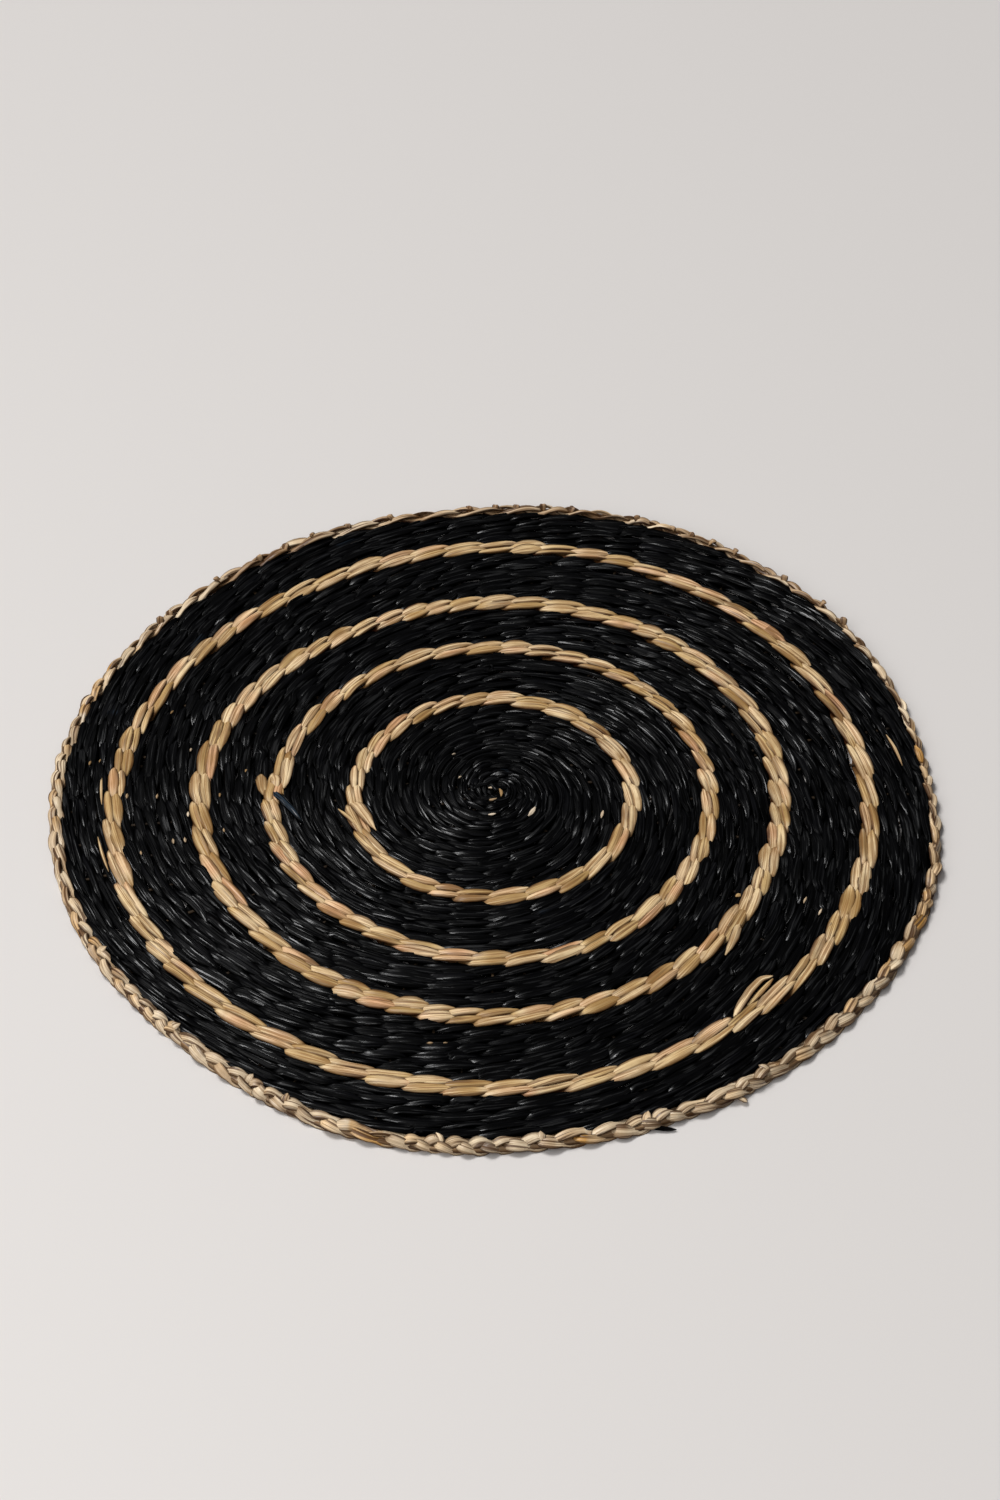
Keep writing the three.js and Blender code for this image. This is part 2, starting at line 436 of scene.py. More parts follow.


# Sweeps flattened blades along paths, many at once, because an operator sweeps only one at a time. Arrays
# are blades x stations, folds are blades x stations x sides, and sizes are in millimetres. ends darkens
# each station as painted shade. Returns points, corner numbers, the strand UV, each point's tint and edge
# shade (its nearness to a margin, or its ends' darkening where that is more, both painted shade), and the
# ends' corners.
def sweepBlades(paths, wide, thick, tilt, folds, tint, closed, rng, ends=0.0):
    blades, stations, sides = folds.shape
    if closed:
        ahead, behind = np.roll(paths, -1, axis=1), np.roll(paths, 1, axis=1)
        along = ahead - behind
    else:
        along = np.gradient(paths, axis=1)
    along /= np.linalg.norm(along, axis=2, keepdims=True)
    outward = np.cross(along, np.array([0.0, 0.0, 1.0]))
    outward /= np.linalg.norm(outward, axis=2, keepdims=True)
    upward = np.cross(outward, along)
    cosine, sine = np.cos(tilt)[..., None], np.sin(tilt)[..., None]
    sideways = outward * cosine + upward * sine
    faceUp = upward * cosine - outward * sine
    across, height = bladeSection(sides)
    x = wide[..., None] / 2 * across
    y = thick[..., None] / 2 * height + folds * (np.abs(height) > blade["foldsFrom"])
    fromPath = sideways[:, :, None, :] * x[..., None]
    points = paths[:, :, None, :] + fromPath + faceUp[:, :, None, :] * y[..., None]
    points[..., 2] = restOnTable(points[..., 2])

    number = np.arange(blades * stations * sides).reshape(blades, stations, sides)
    nextNumber = np.roll(number, -1, axis=1)
    if not closed:
        number, nextNumber = number[:, :-1], nextNumber[:, :-1]
    quads = np.stack(
        [number, nextNumber, np.roll(nextNumber, -1, axis=2), np.roll(number, -1, axis=2)], axis=-1
    ).reshape(-1, 4)

    hop = np.linalg.norm(np.roll(paths, -1, axis=1) - paths, axis=2)
    start = np.concatenate([np.zeros((blades, 1)), np.cumsum(hop, axis=1)], axis=1)
    start += rng.uniform(0, blade["startsWithin"], (blades, 1))
    low, high = start[:, :-1], start[:, 1:]
    if not closed:
        low, high, x = low[:, :-1], high[:, :-1], x[:, :-1]
    lengths = np.stack([low, high, high, low], axis=-1)[:, :, None, :].repeat(sides, axis=2)
    shifted = np.roll(x, -1, axis=2)
    widths = np.stack([x, x, shifted, shifted], axis=-1)
    strandUv = np.stack([lengths, widths], axis=-1).reshape(-1, 2) * mm
    tints = np.broadcast_to(tint[..., None], (blades, stations, sides)).reshape(-1)
    edgeShades = np.maximum(np.abs(across), np.broadcast_to(ends, (blades, stations))[..., None]).reshape(-1)
    caps = []
    if not closed:
        first = np.arange(blades)[:, None] * stations * sides + np.arange(sides)
        last = first + (stations - 1) * sides
        caps = [first, last[:, ::-1]]
    return points.reshape(-1, 3) * mm, quads, strandUv, {"tint": tints, "edgeShade": edgeShades}, caps


# Joins swept blades into one closed-surface mesh
def joinBlades(name, sweeps, material):
    points, quads, uvs, facts, caps = [], [], [], [], []
    offset = 0
    for sweptPoints, sweptQuads, sweptUvs, sweptFacts, openEnds in sweeps:
        points.append(sweptPoints)
        quads.append(sweptQuads + offset)
        uvs.append(sweptUvs)
        facts.append(sweptFacts)
        caps += [cap + offset for end in openEnds for cap in end]
        offset += len(sweptPoints)
    points, quads, uvs = np.concatenate(points), np.concatenate(quads), np.concatenate(uvs)
    corners = np.concatenate([quads.reshape(-1)] + caps) if caps else quads.reshape(-1)
    sizes = np.array([4] * len(quads) + [len(cap) for cap in caps])
    starts = np.concatenate([[0], np.cumsum(sizes)[:-1]])
    mesh = bpy.data.meshes.new(name)
    mesh.vertices.add(len(points))
    mesh.vertices.foreach_set("co", points.astype(np.float32).ravel())
    mesh.loops.add(len(corners))
    mesh.loops.foreach_set("vertex_index", corners.astype(np.int32))
    mesh.polygons.add(len(sizes))
    mesh.polygons.foreach_set("loop_start", starts.astype(np.int32))
    mesh.update(calc_edges=True)
    mesh.validate()
    mesh.shade_smooth()
    layer = mesh.uv_layers.new(name="strand")
    capUvs = np.zeros((len(corners) - len(uvs), 2))
    layer.data.foreach_set("uv", np.concatenate([uvs, capUvs]).astype(np.float32).ravel())
    for fact in ("tint", "edgeShade"):
        values = np.concatenate([swept[fact] for swept in facts])
        mesh.attributes.new(fact, "FLOAT", "POINT").data.foreach_set("value", values.astype(np.float32))
    mesh.materials.append(material)
    piece = bpy.data.objects.new(name, mesh)
    bpy.context.scene.collection.objects.link(piece)
    return piece


# Turns an even share from 0 to 1 into one that starts and ends gently
def eased(share):
    return share * share * (3 - 2 * share)


# Values given at each spoke, eased from one spoke to the next. The last axis counts the spokes.
def easedAlong(values, place):
    low = np.floor(place).astype(int)
    part = eased(place - low)
    count = values.shape[-1]
    return values[..., low % count] * (1 - part) + values[..., (low + 1) % count] * part


# How new spokes are spread: how unfairly gaps are judged, where in a gap one goes, how far all shuffle
# towards even, and how uneven the first ones are
spokeSpread = {"judged": (0.75, 1.25), "inGap": (0.4, 0.6), "towardsEven": 0.45, "first": 6, "uneven": 0.06}


# More spokes than in the zone before: new ones go in the widest gaps, and all shuffle towards even.
def addSpokes(angles, count, rng):
    angles = list(angles)
    while len(angles) < count:
        gaps = np.diff(angles + [angles[0] + fullTurn])
        widest = int(np.argmax(gaps * rng.uniform(*spokeSpread["judged"], len(gaps))))
        angles.insert(widest + 1, angles[widest] + gaps[widest] * rng.uniform(*spokeSpread["inGap"]))
    angles = np.array(angles)
    even = angles.mean() + (np.arange(count) - (count - 1) / 2) * fullTurn / count
    return angles + (even - angles) * spokeSpread["towardsEven"]


# The place on the mat at a radius and angle. Near the hub all of it drifts off to one side.
def onMat(radius, angle):
    share = eased(np.clip(1 - radius / mat["hubDriftEnds"], 0, 1))
    x = mat["weaveCentre"][0] + mat["hubDrift"][0] * share + radius * np.cos(angle)
    y = mat["weaveCentre"][1] + mat["hubDrift"][1] * share + radius * np.sin(angle)
    return x, y


# How a strand goes along a row: 0 is over a spoke, 1 and -1 are under one. It comes up at the row's outer
# side, blunt, and goes down at the inner side, pointed, with the next float lying over its tail. Under a
# spoke it is broad again, to close the row.
floatShape = {
    "at": [-1.0, -0.8, -0.62, -0.48, -0.25, 0.1, 0.35, 0.55, 0.75, 1.0],
    "height": [-1.0, -0.7, 0.3, 0.75, 1.0, 1.0, 0.8, 0.45, -0.5, -1.0],
    "aside": [0.0, 0.75, 1.0, 0.9, 0.45, -0.25, -0.7, -0.97, -0.9, 0.0],
    "width": [1.0, 0.75, 0.56, 0.74, 1.0, 1.05, 0.84, 0.52, 0.42, 1.0],
    "tilt": [0.0, -0.8, -1.0, -0.85, -0.35, 0.0, 0.15, 0.3, 0.3, 0.0],
}


def shapeAt(key, beat):
    return np.interp(beat, floatShape["at"], floatShape[key], period=2)


# One row of two strands that twist half a turn between spokes. Round an odd number of spokes they meet each
# other's ends, so that they are one strand that goes round twice.
def twineRow(look, middleAt, pitchAt, spokes, rng):
    count, steps, sides = len(spokes), look["steps"], look["sides"]
    strands, turns = (1, 2) if count % 2 else (2, 1)
    cells = count * turns
    even = np.arange(cells * steps) / steps
    place = even + look["crowding"] * np.sin(fullTurn * even) / fullTurn
    low = np.floor(place).astype(int)
    pushed = spokes + rng.normal(0, look["drift"], count) * fullTurn / count
    pushed = np.append(pushed, pushed[0] + fullTurn)
    angle = pushed[low % count] + (place - low) * (pushed[low % count + 1] - pushed[low % count])
    pitch = pitchAt(angle)

    def spread(size, *shape):
        return easedAlong(rng.normal(0, size, (strands, *shape, cells)), place)

    beat = place + np.arange(strands)[:, None]
    openness = shapeAt("width", beat)
    swung = middleAt(angle) + look["swing"] * pitch * shapeAt("aside", beat)
    radius = swung + spread(look["wander"]) * pitch
    height = look["middle"] + look["lift"] * shapeAt("height", beat) + spread(look["bob"]) * openness
    wide = pitch * look["wide"] * openness * np.clip(1 + spread(look["fatness"]), look["thinnest"], None)
    thick = look["thick"] * (look["thickUnder"] - look["thinnerOver"] * openness)
    tilt = math.radians(look["tilt"]) * shapeAt("tilt", beat) + spread(math.radians(look["roll"]))
    folds = np.moveaxis(spread(look["folds"], sides), 1, 2) * openness[..., None]
    tint = np.clip(0.5 + spread(look["tintSpread"]), 0, 1)
    paths = np.stack([*onMat(radius, angle), height], axis=-1)
    # painted shade: the strand is darkened where it dives under the spokes and the next float
    ends = np.clip(look["endsShade"] - shapeAt("height", beat) * look["endsFade"], 0, 1)
    return sweepBlades(paths, wide, thick, tilt, folds, tint, True, rng, ends)


# A row's own slow wander, made of a few waves: how often each one goes round the mat
wanderWaves = (2, 3, 5, 8)


def wanderOf(rng, size):
    parts = [
        (count, rng.normal(0, size / math.sqrt(count)), rng.uniform(0, fullTurn)) for count in wanderWaves
    ]
    return lambda angle: sum(amount * np.cos(count * angle + start) for count, amount, start in parts)


rng = np.random.default_rng(mat["seed"])
# Each zone of spokes: the radius up to which it goes, and how many there are
spokeCounts = [(10.0, 6), (33.0, 12), (50.0, 20), (88.5, 27), (118.2, 42), (155.3, 55), (200.0, 62)]
spokeZones = []
firstCount = spokeSpread["first"]
angles = rng.uniform(0, fullTurn) + np.arange(firstCount) / firstCount * fullTurn
angles = angles + rng.normal(0, spokeSpread["uneven"], firstCount)
for upTo, count in spokeCounts:
    angles = addSpokes(angles, count, rng)
    spokeZones.append({"upTo": upTo, "spokes": angles})


def spokesAt(radius):
    return next(zone["spokes"] for zone in spokeZones if radius <= zone["upTo"])


blackWeft = {
    "steps": 7,
    "sides": 14,
    "crowding": 0.3,
    "drift": 0.24,
    "swing": 0.34,
    "wander": 0.08,
    "middle": 2.3,
    "lift": 1.25,
    "bob": 0.22,
    "wide": 1.04,
    "thick": 1.1,
    "thickUnder": 1.2,
    "thinnerOver": 0.2,
    "fatness": 0.2,
    "thinnest": 0.8,
    "tilt": 13.0,
    "roll": 8.0,
    "together": 1.0,
    "endsShade": 0.9,
    "endsFade": 1.3,
    "rowWander": 0.25,
    "reachUnder": 0.5,
    "folds": 0.3,
    "tintSpread": 0.17,
}

# Rows in each black stretch. Those near the hub are finer.
blackRows = {"black_centre": 16, "black_band_1": 6, "black_band_2": 5, "black_band_3": 6, "black_band_4": 5}
hub = {"radius": 2.2, "firstShare": 0.58, "lastShare": 1.25}

naturalWeft = dict(
    blackWeft,
    steps=9,
    sides=20,
    drift=0.04,
    wander=0.05,
    middle=2.6,
    lift=1.6,
    bob=0.14,
    together=0.8,
    swing=0.28,
    wide=1.08,
    thick=1.5,
    fatness=0.19,
    roll=10.0,
    folds=0.1,
    endsShade=1.12,
    tintSpread=0.32,
)


def finishPiece(piece, node):
    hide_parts(node)
    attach(piece, "root")


# Twines rows one after another between two lines, each row taking its share of the width
def weaveRows(look, innerAt, outerAt, shares, rng):
    edges = np.concatenate([[0], np.cumsum(shares)]) / np.sum(shares)
    sweeps = []
    for low, high in zip(edges[:-1], edges[1:]):
        wander = wanderOf(rng, look["rowWander"])
        part = 0.5 + ((low + high) / 2 - 0.5) * look["together"]
        fade = min(part, 1 - part) * 2
        middleAt = lambda angle: innerAt(angle) * (1 - part) + outerAt(angle) * part + wander(angle) * fade
        pitchAt = lambda angle: (outerAt(angle) - innerAt(angle)) * (high - low)
        typical = float(np.mean(middleAt(edgeAngles)))
        sweeps.append(twineRow(look, middleAt, pitchAt, spokesAt(typical), rng))
    return sweeps


# How a loose blade is made: stations from one point of its course to the next and more at its ends, how it
# narrows to them, and its folds, thickness and roll
looseLook = {
    "stations": 4,
    "endStations": 3,
    "sides": 12,
    "narrowing": 3.0,
    "narrowest": 0.25,
    "narrowShape": 0.7,
    "thinnest": 0.4,
    "folds": 0.12,
    "thick": 0.8,
    "roll": 10.0,
}


# A single blade through points given as radius, degrees and height, with its width at each of them
def looseBlade(
    course, widths, thick, tint, rng, roll=0.0, sides=looseLook["sides"], centre=mat["weaveCentre"]
):
    course, knots = np.array(course, float), np.arange(len(course))
    stations = looseLook["stations"] * (len(course) - 1) + looseLook["endStations"]
    place = np.linspace(0, len(course) - 1, stations)
    radius, degrees, height = [np.interp(place, knots, course[:, i]) for i in range(3)]
    angle = np.radians(degrees)
    x, y = centre[0] + radius * np.cos(angle), centre[1] + radius * np.sin(angle)
    path = np.stack([x, y, height], axis=-1)
    path[1:-1] = (path[:-2] + 2 * path[1:-1] + path[2:]) / 4
    toEnd = np.minimum(place, place[::-1]) * looseLook["narrowing"]
    taper = np.clip(toEnd, looseLook["narrowest"], 1.0) ** looseLook["narrowShape"]
    wide = np.interp(place, knots, widths) * taper
    thickness = thick * np.clip(taper, looseLook["thinnest"], 1)
    folds = np.repeat(rng.normal(0, looseLook["folds"], (1, sides)), stations, axis=0) * taper[:, None]
    rolled = np.full(stations, math.radians(roll))
    tints = np.full(stations, tint)
    return sweepBlades(
        path[None], wide[None], thickness[None], rolled[None], folds[None], tints[None], False, rng
    )


# Loose ends, where a strand of the weave was started or cut off, and thin slivers. Each has its course, as
# radius, degrees and height, its width at each of those points, and its tint.
looseEnds = {
    "natural_ring_1": [
        (
            [(59.6, 183.6, 3.8), (57.4, 187.6, 5.5), (55.0, 195.0, 5.6), (53.4, 203.6, 4.5)],
            (4.2, 6.2, 5.4, 0.8),
            0.68,
        ),
        ([(65.9, 187.6, 4.8), (61.8, 193.2, 4.9), (58.7, 200.6, 4.2)], (1.2, 2.4, 2.2), 0.35),
    ],
    "natural_ring_2": [
        (
            [(90.6, 163.6, 3.8), (89.8, 168.0, 5.3), (89.0, 173.0, 5.4), (89.1, 177.4, 4.7)],
            (3.4, 6.0, 5.2, 2.6),
            0.62,
        ),
        ([(89.8, 176.4, 4.2), (89.0, 179.8, 4.6)], (1.2, 0.7), 0.3),
        ([(94.4, 172.4, 4.2), (92.9, 174.8, 5.4), (92.5, 177.6, 4.4)], (3.4, 5.0, 3.4), 0.55),
        ([(99.8, 172.6, 4.2), (98.8, 175.8, 5.4), (97.2, 179.8, 4.4)], (3.6, 5.0, 3.6), 0.42),
        ([(100.0, 173.0, 3.8), (101.6, 175.0, 4.6)], (1.6, 1.0), 0.05),
    ],
    "natural_ring_3": [
        ([(124.5, 323.5, 4.0), (128.3, 319.5, 5.0), (131.4, 315.2, 4.6)], (3.4, 4.0, 1.8), 0.5),
        ([(117.6, 330.0, 3.8), (116.6, 328.6, 4.6)], (2.4, 1.8), 0.2),
    ],
    "natural_ring_4": [
        (
            [
                (156.6, 307.2, 4.4),
                (154.0, 309.4, 5.6),
                (151.6, 312.2, 6.2),
                (150.6, 315.0, 6.2),
                (152.8, 316.8, 5.4),
            ],
            (2.4, 3.6, 3.6, 3.0, 1.8),
            0.6,
        ),
        ([(153.8, 316.4, 5.4), (154.6, 313.2, 4.8), (155.8, 309.8, 4.3)], (1.8, 2.6, 2.0), 0.3),
        ([(174.4, 11.1, 4.3), (175.6, 8.0, 5.1), (176.7, 4.7, 4.4)], (0.8, 1.7, 0.7), 0.55),
        ([(167.4, 188.0, 4.2), (166.3, 191.8, 5.0), (165.2, 195.2, 4.3)], (0.8, 1.5, 0.8), 0.5),
        ([(167.8, 175.8, 4.2), (166.8, 178.6, 4.9), (165.9, 181.5, 4.3)], (0.7, 1.3, 0.7), 0.5),
    ],
    "black_band_1": [
        (
            [(94.0, 178.2, 4.4), (89.4, 182.0, 5.6), (85.0, 186.5, 5.6), (81.8, 191.6, 4.8)],
            (2.4, 3.2, 2.8, 1.0),
            1.0,
        ),
    ],
    "rim_plait": [
        ([(185.5, 299.6, 2.2), (189.6, 300.2, 1.9), (191.6, 300.5, 1.5)], (2.6, 3.0, 2.4), 0.5),
    ],
    "black_band_4": [
        (
            [(183.4, 286.8, 2.4), (186.8, 288.8, 1.4), (188.9, 290.1, 1.0), (190.8, 291.3, 0.9)],
            (1.8, 2.4, 2.2, 0.8),
            0.5,
        ),
    ],
    "black_centre": [
        ([(7.0, 205.0, 4.0), (1.5, 250.0, 4.6), (7.5, 350.0, 4.2)], (2.2, 2.8, 2.0), 0.6),
        ([(8.0, 120.0, 4.0), (2.5, 60.0, 4.5), (8.5, 20.0, 4.2)], (2.0, 2.6, 1.8), 0.8),
        ([(9.0, 160.0, 4.1), (6.0, 110.0, 4.6), (9.5, 70.0, 4.2)], (1.8, 2.4, 1.6), 0.4),
    ],
}


def looseFor(name, rng):
    thick, most = looseLook["thick"], looseLook["roll"]
    return [
        looseBlade(course, widths, thick, tint, rng, roll=rng.uniform(-most, most))
        for course, widths, tint in looseEnds.get(name, [])
    ]


# The black weave runs from the hub to the rim, and a little way under each natural ring.
blackInner = [np.full_like(edgeAngles, hub["radius"])]
blackInner += [outer - blackWeft["reachUnder"] for _, outer in ringEdges]
blackOuter = [inner + blackWeft["reachUnder"] for inner, _ in ringEdges] + [weaveEdge]
blackEdges = zip(map(edgeLine, blackInner), map(edgeLine, blackOuter))
for (name, rows), (inner, outer) in zip(blackRows.items(), blackEdges):
    shares = np.ones(rows)
    if name == "black_centre":
        shares = np.linspace(hub["firstShare"], hub["lastShare"], rows)
    sweeps = weaveRows(blackWeft, inner, outer, shares, rng) + looseFor(name, rng)
    finishPiece(joinBlades(name + "_weft", sweeps, blackSeagrass), name)
    print(name, "is woven")

for name, (inner, outer) in zip(ringNames, ringEdges):
    sweeps = weaveRows(naturalWeft, edgeLine(inner), edgeLine(outer), [1, 1], rng) + looseFor(name, rng)
    finishPiece(joinBlades(name + "_weft", sweeps, naturalSeagrass), name)
    print(name, "is woven")

# The rim: a plait of three strands, its outer side turned down a little. Its floats are longer at the back,
# where settling them takes a few rounds. It wobbles a few times faster than a row wanders. The core stands
# for the ends of the spokes, laid flat under the plait; its darker tint is painted shade between the
# strands.
rimPlait = {
    "strands": 3,
    "turns": 30,
    "steps": 30,
    "uneven": 0.2,
    "leastPace": 0.6,
    "mostPace": 1.5,
    "backStretch": 0.35,
    "backStep": 1.5,
    "settlingRounds": 4,
    "reach": 1.8,
    "reachSpread": 0.16,
    "asideSpread": 0.12,
    "lift": 1.35,
    "liftSpread": 0.2,
    "wide": 4.7,
    "narrow": 2.3,
    "wideSpread": 0.16,
    "fullness": 0.6,
    "thick": 1.3,
    "slope": 20.0,
    "twist": 18.0,
    "middle": 2.5,
    "backRise": 1.2,
    "sides": 20,
    "folds": 0.26,
    "wobble": 0.35,
    "wobblePace": 3,
    "roll": 16.0,
    "tintSpread": 0.15,
    "endsShadeFrom": 0.55,
    "endsFade": 0.4,
    "coreOut": 0.1,
    "coreWide": 4.8,
    "coreThick": 2.8,
    "coreMiddle": 1.45,
    "coreRise": 0.8,
    "coreSides": 10,
    "coreShadeTint": 0.15,
}

# The rim's usual tint, and where its blades differ: from and to, in degrees, and the tint there
rimTints = [(28, 150, 0.42), (155, 165, 0.85), (252, 256, 0.85), (276, 280, 0.82), (335, 341, 0.8)]
rimTint = 0.6


def rimTintAt(angle):
    degrees = np.degrees(angle) % 360
    tint = np.full_like(degrees, rimTint)
    for start, end, value in rimTints:
        tint = np.where((degrees >= start) & (degrees < end), value, tint)
    return tint


# Ends of spokes, folded over and tucked in: the degrees at which they poke inwards, or up at the back.
# A course has the way out from the rim's line, the share of the twist and the height. A tab that stands
# up has a tip of uneven height, and its end hangs down from that.
tabs = {
    "inward": {
        "at": [209, 225, 238, 243.5, 263, 274.5, 287, 304],
        "twist": 0.5,
        "course": [(0.6, 0.0, 3.4), (-1.6, 1.0, 4.7), (-3.8, 2.0, 4.5)],
        "widths": (3.4, 4.0, 0.9),
        "thick": 0.6,
        "tint": (0.45, 0.75),
    },
    "upward": {
        "at": [33, 38, 45, 54, 58, 61, 64, 69, 79, 83, 87, 90, 94, 105, 112, 117, 122, 126, 133, 143, 145],
        "twist": 0.9,
        "foot": (-0.6, 4.2),
        "tipOut": 0.4,
        "endOut": 1.6,
        "endDown": 0.6,
        "tip": (6.0, 7.0),
        "widths": (3.2, 3.4, 1.6),
        "thick": 0.7,
        "tint": (0.0, 0.35),
    },
}


# The angle at each half turn of the plait, unevenly spaced and further apart at the back
def rimKnots(rng):
    halfTurns = rimPlait["turns"] * 2
    pace = rng.normal(1, rimPlait["uneven"], halfTurns)
    pace = np.clip(pace, rimPlait["leastPace"], rimPlait["mostPace"])
    knots = np.concatenate([[0], np.cumsum(pace)])
    for _ in range(rimPlait["settlingRounds"]):
        middles = (knots[1:] + knots[:-1]) / 2 / knots[-1] * fullTurn
        atBack = np.clip(np.sin(middles) * rimPlait["backStep"], 0, 1)
        stretched = pace * (1 + rimPlait["backStretch"] * atBack)
        knots = np.concatenate([[0], np.cumsum(stretched)])
    return knots / knots[-1] * fullTurn


# The rim's middle line, as a function of the angle
rimLine = edgeLine((rimEdges[0] + rimEdges[1]) / 2)


def layCore(angle, seam, middle, rng):
    flat = np.ones_like(angle)
    radius = seam + rimPlait["coreOut"]
    height = rimPlait["coreMiddle"] + (middle - rimPlait["middle"]) * rimPlait["coreRise"]
    path = np.stack([radius * np.cos(angle), radius * np.sin(angle), height], axis=-1)[None]
    wide = rimPlait["coreWide"] * rimRunAt("breadth", angle)[None]
    thick = rimPlait["coreThick"] * flat[None]
    folds = np.zeros((1, len(flat), rimPlait["coreSides"]))
    tint = rimPlait["coreShadeTint"] * flat[None]
    return sweepBlades(path, wide, thick, 0 * flat[None], folds, tint, True, rng)


# One of the plait's strands. It swings in and out once a turn, and goes over and under twice.
def plaitStrand(strand, place, angle, seam, middle, rng):
    slope = math.radians(rimPlait["slope"])
    ahead = place + strand / rimPlait["strands"]
    beat = fullTurn * ahead
    halfPlace = 2 * ahead

    def spread(size):
        return easedAlong(rng.normal(0, size, rimPlait["turns"] * 2), halfPlace)

    breadth = rimRunAt("breadth", angle)
    reach = rimPlait["reach"] * breadth * (1 + spread(rimPlait["reachSpread"]))
    openness = np.abs(np.sin(2 * beat)) ** rimPlait["fullness"]
    aside = reach * np.sin(beat) + spread(rimPlait["asideSpread"])
    height = rimPlait["lift"] * np.sin(2 * beat) + spread(rimPlait["liftSpread"])
    radius = seam + aside * math.cos(slope) + height * math.sin(slope)
    z = middle + height * math.cos(slope) - aside * math.sin(slope)
    path = np.stack([radius * np.cos(angle), radius * np.sin(angle), z], axis=-1)[None]
    wide = rimPlait["narrow"] + (rimPlait["wide"] - rimPlait["narrow"]) * openness
    wide = wide * breadth * (1 + spread(rimPlait["wideSpread"]))
    thick = np.full_like(wide, rimPlait["thick"])
    twist = math.radians(rimPlait["twist"])
    tilt = -slope - twist * np.sin(beat) + spread(math.radians(rimPlait["roll"]))
    folds = [spread(rimPlait["folds"]) for _ in range(rimPlait["sides"])]
    folds = np.stack(folds, axis=-1) * openness[:, None]
    tint = np.clip(rimTintAt(angle) + spread(rimPlait["tintSpread"]), 0, 1)
    # painted shade: each strand darkens where it narrows to pass under the others
    ends = np.clip((rimPlait["endsShadeFrom"] - openness) / rimPlait["endsFade"], 0, 1)
    return sweepBlades(
        path, wide[None], thick[None], tilt[None], folds[None], tint[None], True, rng, ends[None]
    )


def inwardTab(degrees, rng):
    tab = tabs["inward"]
    edge = float(rimLine(math.radians(degrees)))
    twist = rng.uniform(-tab["twist"], tab["twist"])
    course = [(edge + out, degrees + twist * turned, height) for out, turned, height in tab["course"]]
    tint = rng.uniform(*tab["tint"])
    return looseBlade(course, tab["widths"], tab["thick"], tint, rng, centre=mat["rimCentre"])


def upwardTab(degrees, rng):
    tab = tabs["upward"]
    edge = float(rimLine(math.radians(degrees)))
    twist = rng.uniform(-tab["twist"], tab["twist"])
    tip = rng.uniform(*tab["tip"])
    footOut, footHeight = tab["foot"]
    course = [
        (edge + footOut, degrees, footHeight),
        (edge + tab["tipOut"], degrees + twist / 2, tip),
        (edge + tab["endOut"], degrees + twist, tip - tab["endDown"]),
    ]
    tint = rng.uniform(*tab["tint"])
    return looseBlade(course, tab["widths"], tab["thick"], tint, rng, centre=mat["rimCentre"])


def plaitRim(rng):
    turns, steps = rimPlait["turns"], rimPlait["steps"]
    place = np.arange(turns * steps) / steps
    angle = np.interp(place, np.arange(turns * 2 + 1) / 2, rimKnots(rng))
    wander = wanderOf(rng, rimPlait["wobble"])
    seam = rimLine(angle) + wander(angle * rimPlait["wobblePace"]) + rimRunAt("aside", angle)
    middle = rimPlait["middle"] + rimPlait["backRise"] * np.clip(np.sin(angle), 0, 1)
    sweeps = [layCore(angle, seam, middle, rng)]
    strands = range(rimPlait["strands"])
    sweeps += [plaitStrand(strand, place, angle, seam, middle, rng) for strand in strands]
    sweeps += [inwardTab(degrees, rng) for degrees in tabs["inward"]["at"]]
    sweeps += [upwardTab(degrees, rng) for degrees in tabs["upward"]["at"]]
    return joinBlades("rim_plait_strands", sweeps + looseFor("rim_plait", rng), rimSeagrass)


finishPiece(plaitRim(rng), "rim_plait")
print("rim is plaited")

# Spokes: stalks that run out under the floats, more of them in each zone further out. They start inside
# the zone before, and get thinner towards the hub.
stalk = {
    "wide": 1.3,
    "thick": 1.0,
    "middle": 1.8,
    "uneven": 0.05,
    "stations": 8,
    "sides": 8,
    "overlap": 3.0,
    "startsAt": 0.5,
    "endsAt": 180.0,
    "fullWidthAt": 12.0,
    "leastShare": 0.35,
    # the darkest tint: painted shade for the stalks' runs under the floats
    "tint": 0.0,
}

# Where a spoke was started, its cut end shows between the black rows: radius, degrees, width and tint
cutEnds = [
    (3.5, 95.0, 1.6, 0.9), (3.9, 10.0, 2.4, 0.5), (3.6, 268.0, 2.4, 0.6), (12.2, 268.9, 1.9, 1.0),
    (20.0, 327.0, 3.2, 1.0), (48.1, 344.5, 2.2, 0.8), (29.2, 124.3, 1.1, 0.9), (17.1, 143.9, 1.2, 0.9),
    (142.5, 333.8, 1.8, 0.7), (150.5, 332.5, 1.8, 0.8), (156.9, 330.7, 1.5, 0.6), (139.0, 259.5, 1.4, 0.6),
    (138.1, 261.9, 1.2, 0.6), (174.4, 173.2, 1.8, 0.4), (170.4, 172.6, 1.4, 0.5), (155.5, 179.8, 2.0, 0.6),
    (142.7, 179.9, 1.8, 0.6), (149.4, 159.7, 1.6, 0.4), (133.2, 167.8, 1.4, 0.8), (116.0, 179.7, 1.6, 0.5),
    (136.5, 191.1, 2.0, 0.7), (131.5, 191.2, 2.0, 0.7), (150.5, 192.6, 1.6, 0.6), (106.8, 171.7, 1.6, 0.5),
    (100.7, 174.7, 1.4, 0.2), (114.8, 190.1, 1.6, 0.6), (129.2, 184.7, 2.0, 0.9),
]


# How long and narrow a cut end is against its width in the list, and how high it lies from end to end
cutEnd = {"long": 1.7, "narrow": 0.6, "low": 4.0, "high": 4.7, "thick": 0.9, "sides": 8}


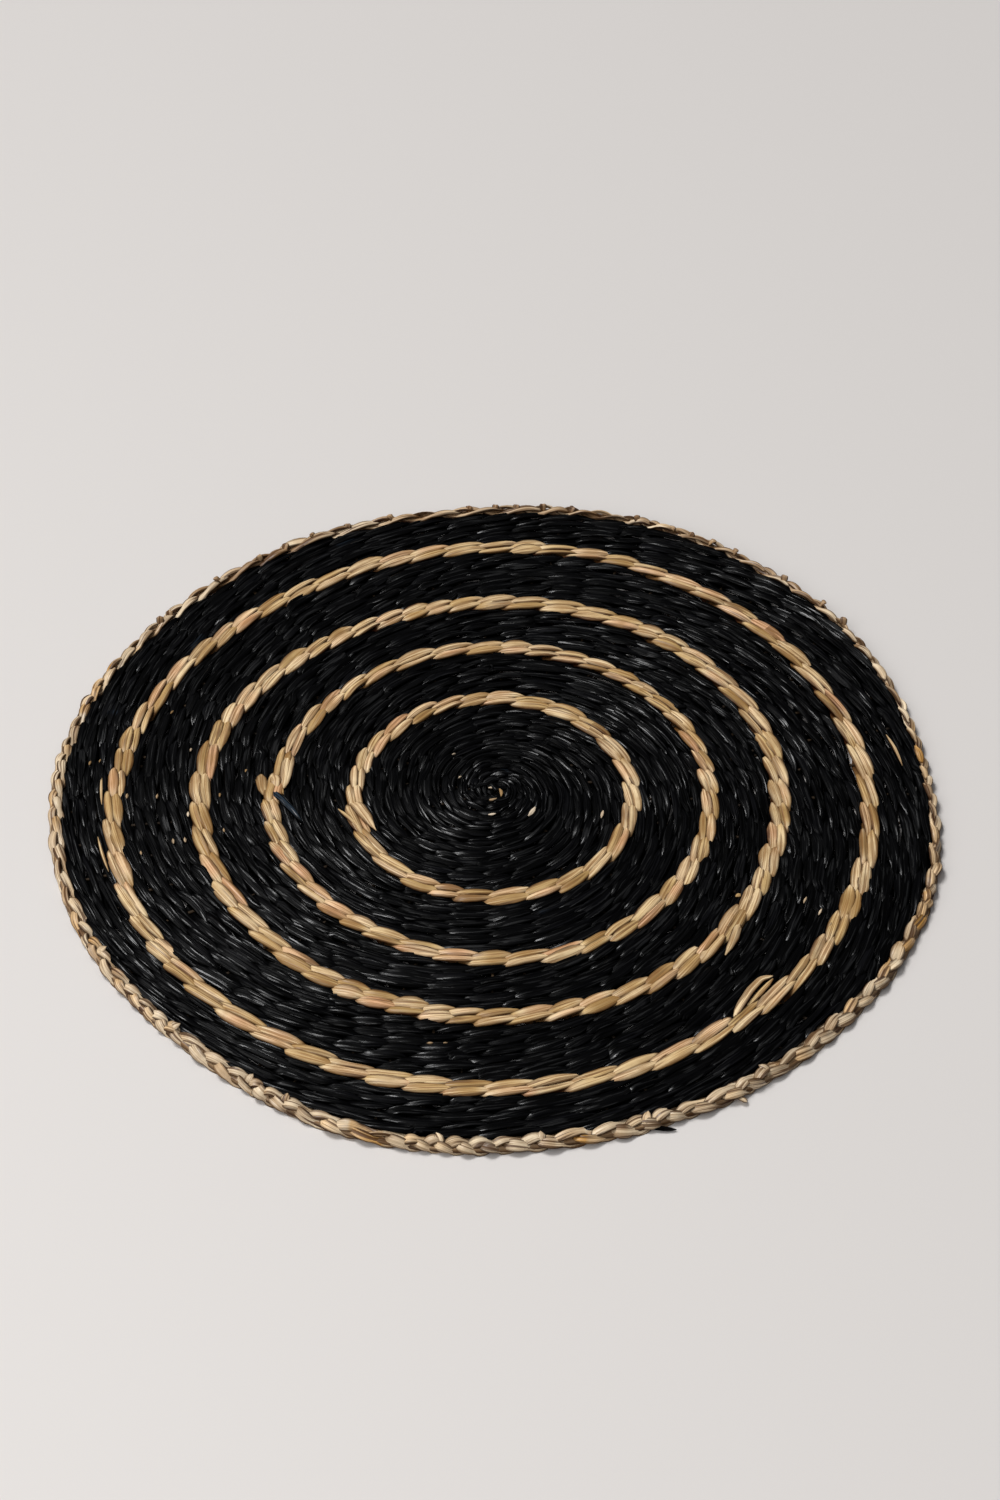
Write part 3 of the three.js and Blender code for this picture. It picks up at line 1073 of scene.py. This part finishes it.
def layCutEnd(radius, degrees, width, tint, rng):
    half = math.degrees(width * cutEnd["long"] / 2 / radius)
    course = [(radius, degrees - half, cutEnd["low"]), (radius, degrees + half, cutEnd["high"])]
    narrow = width * cutEnd["narrow"]
    return looseBlade(course, (narrow, narrow), cutEnd["thick"], tint, rng, sides=cutEnd["sides"])


def laySpoke(angle, inner, outer, rng):
    stations = stalk["stations"]
    reach = np.linspace(max(inner - stalk["overlap"], stalk["startsAt"]), outer, stations)
    z = stalk["middle"] + rng.normal(0, stalk["uneven"], stations)
    path = np.stack([*onMat(reach, angle), z], axis=-1)[None]
    share = np.clip(reach / stalk["fullWidthAt"], stalk["leastShare"], 1)
    wide = np.full((1, stations), stalk["wide"]) * share
    thick = np.full((1, stations), stalk["thick"])
    tilt = np.zeros((1, stations))
    folds = np.zeros((1, stations, stalk["sides"]))
    tint = np.full((1, stations), stalk["tint"])
    return sweepBlades(path, wide, thick, tilt, folds, tint, False, rng)


def laySpokes(rng):
    sweeps = [layCutEnd(*end, rng) for end in cutEnds]
    inner = 0.0
    for zone in spokeZones:
        outer = min(zone["upTo"], stalk["endsAt"])
        sweeps += [laySpoke(angle, inner, outer, rng) for angle in zone["spokes"]]
        inner = outer
    return joinBlades("spoke_stalks", sweeps, spokeStalk)


finishPiece(laySpokes(rng), "spokes")
print("spokes are laid")

# A plain pale table top under the mat
table = {"size": 6.0, "colour": "#e5e0dc", "rough": 0.6}


def makeTable():
    shape = bmesh.new()
    bmesh.ops.create_grid(shape, x_segments=1, y_segments=1, size=table["size"] / 2)
    mesh = bpy.data.meshes.new("table_top")
    shape.to_mesh(mesh)
    shape.free()
    top = bpy.data.objects.new("table_top", mesh)
    bpy.context.scene.collection.objects.link(top)
    material, tree = newMaterial("pale_painted_board")
    paint = {"Base Color": linearColour(table["colour"]), "Roughness": table["rough"]}
    shader = addNode(tree, "ShaderNodeBsdfPrincipled", paint)
    addNode(tree, "ShaderNodeOutputMaterial", {"Surface": shader.outputs["BSDF"]})
    mesh.materials.append(material)


makeTable()

# The key stands at the back left, and a wide weak fill lightens the front left. Power is in watts.
lighting = {
    "key": {"from": (-0.39, 0.3, 0.87), "away": 9.0, "size": 3.3, "power": 538.0},
    "fill": {"from": (-0.7, -0.6, 0.8), "away": 1.8, "size": 1.6, "power": 12.5},
    "sky": "#eceef2",
    "skyStrength": 0.18,
}


def makeLights():
    for name in ("key", "fill"):
        look = lighting[name]
        light = bpy.data.lights.new(name + "_softbox", "AREA")
        light.shape = "SQUARE"
        light.size = look["size"]
        light.energy = look["power"]
        lamp = bpy.data.objects.new(name + "_softbox", light)
        bpy.context.scene.collection.objects.link(lamp)
        direction = Vector(look["from"]).normalized()
        lamp.location = direction * look["away"]
        lamp.rotation_mode = "QUATERNION"
        lamp.rotation_quaternion = direction.to_track_quat("Z", "Y")
    world = bpy.data.worlds.new("soft_sky")
    world.use_nodes = True
    backdrop = world.node_tree.nodes["Background"]
    backdrop.inputs["Color"].default_value = linearColour(lighting["sky"])
    backdrop.inputs["Strength"].default_value = lighting["skyStrength"]
    bpy.context.scene.world = world


makeLights()
bpy.context.scene.view_settings.view_transform = "Standard"
print("table and lights are set")
